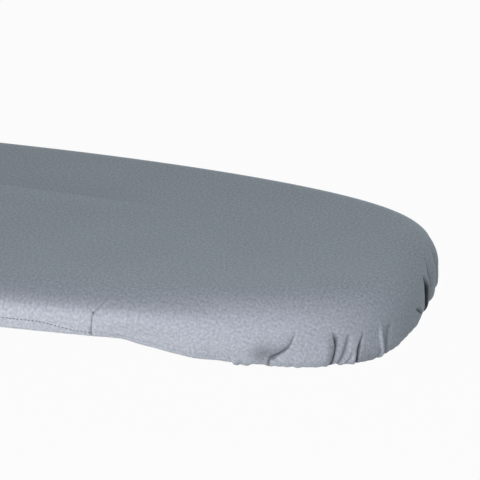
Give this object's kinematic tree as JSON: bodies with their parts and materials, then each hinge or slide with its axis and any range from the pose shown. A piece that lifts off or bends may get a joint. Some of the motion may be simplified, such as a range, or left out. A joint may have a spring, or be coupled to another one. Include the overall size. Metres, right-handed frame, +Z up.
{
  "type": "ironing board cover",
  "caption": "Fitted ironing board cover of grey coated cotton over a foam pad and felt, with a gathered elastic hem and hook-and-loop straps that close under the board.",
  "frame": {"origin": "middle of the felt's underside, where the middle of the board's top face lies", "axes": "+X runs along the board to the round nose, -Y is the side nearest the picture's camera, +Z points up out of the ironing face"},
  "size_m": [1.24, 0.4502, 0.0787],
  "materials": {
    "coated_cotton": "metallised sheen",
    "pad_foam": "matte",
    "pad_felt": "matte",
    "hem_tape": "matte",
    "elastic_band": "matte",
    "strap_webbing": "matte",
    "hook_tape": "matte",
    "loop_tape": "matte"
  },
  "bodies": {
    "cover": {"cover_shell": "coated_cotton", "foam_pad": "pad_foam", "felt_underlay": "pad_felt", "nose_binding": "hem_tape", "near_side_binding": "hem_tape", "tail_binding": "hem_tape", "far_side_binding": "hem_tape", "nose_elastic": "elastic_band", "tail_elastic": "elastic_band"},
    "front_near_half": {"front_strap_near": "strap_webbing", "front_hook_patch": "hook_tape"},
    "front_far_half": {"front_strap_far": "strap_webbing", "front_loop_patch": "loop_tape"},
    "middle_near_half": {"middle_strap_near": "strap_webbing", "middle_hook_patch": "hook_tape"},
    "middle_far_half": {"middle_strap_far": "strap_webbing", "middle_loop_patch": "loop_tape"},
    "rear_near_half": {"rear_strap_near": "strap_webbing", "rear_hook_patch": "hook_tape"},
    "rear_far_half": {"rear_strap_far": "strap_webbing", "rear_loop_patch": "loop_tape"}
  },
  "joints": [
    {"name": "front_near_swing", "type": "hinge", "parent": "cover", "child": "front_near_half", "pos_m": [0.04, -0.16473, -0.0653], "axis": [-1, 0, 0], "range_deg": [0, 90]},
    {"name": "front_far_swing", "type": "hinge", "parent": "cover", "child": "front_far_half", "pos_m": [0.04, 0.16471, -0.0653], "axis": [1, 0, 0], "range_deg": [0, 45]},
    {"name": "middle_near_swing", "type": "hinge", "parent": "cover", "child": "middle_near_half", "pos_m": [-0.155, -0.16473, -0.0653], "axis": [-1, 0, 0], "range_deg": [0, 90]},
    {"name": "middle_far_swing", "type": "hinge", "parent": "cover", "child": "middle_far_half", "pos_m": [-0.155, 0.16471, -0.0653], "axis": [1, 0, 0], "range_deg": [0, 45]},
    {"name": "rear_near_swing", "type": "hinge", "parent": "cover", "child": "rear_near_half", "pos_m": [-0.35, -0.16473, -0.0653], "axis": [-1, 0, 0], "range_deg": [0, 90]},
    {"name": "rear_far_swing", "type": "hinge", "parent": "cover", "child": "rear_far_half", "pos_m": [-0.35, 0.16471, -0.0653], "axis": [1, 0, 0], "range_deg": [0, 45]}
  ],
  "couplings": [
    {"joint": "front_far_swing", "follows": "front_near_swing", "ratio": 0.5},
    {"joint": "middle_far_swing", "follows": "middle_near_swing", "ratio": 0.5},
    {"joint": "rear_far_swing", "follows": "rear_near_swing", "ratio": 0.5}
  ]
}
